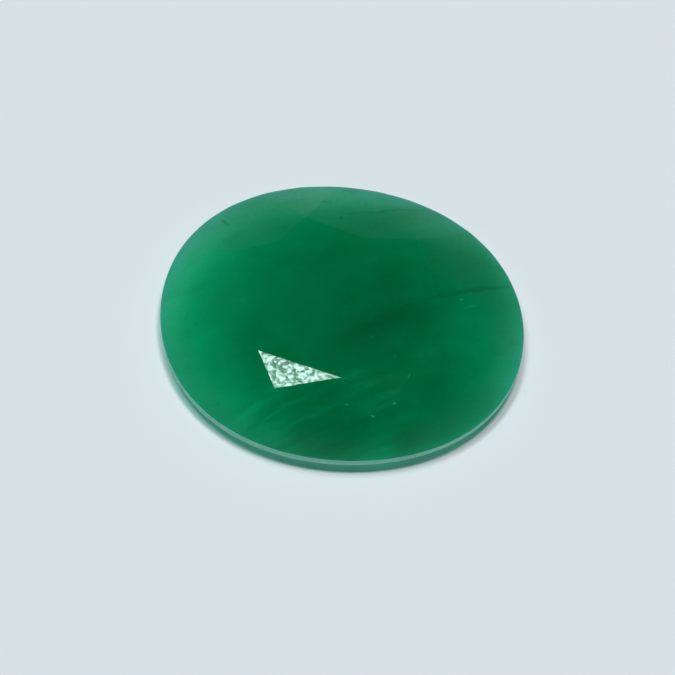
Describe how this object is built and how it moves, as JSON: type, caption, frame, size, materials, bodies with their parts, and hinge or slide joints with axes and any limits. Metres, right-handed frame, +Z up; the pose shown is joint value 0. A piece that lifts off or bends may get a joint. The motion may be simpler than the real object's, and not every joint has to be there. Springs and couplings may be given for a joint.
{
  "type": "oval cut emerald",
  "caption": "Loose oval gemstone with a low faceted crown, a thin girdle and a shallow faceted back that ends in a broad flat, in cloudy green emerald.",
  "frame": {"origin": "on the resting surface, under the middle of the stone's box", "axes": "+X along the length of the oval, +Y across it, +Z up through the table"},
  "size_m": [0.0136, 0.011, 0.0025],
  "materials": {
    "emerald": "polished cloudy emerald, deep green, paler where it is thin at the rim"
  },
  "bodies": {
    "root": {"stone": "emerald"}
  },
  "joints": []
}
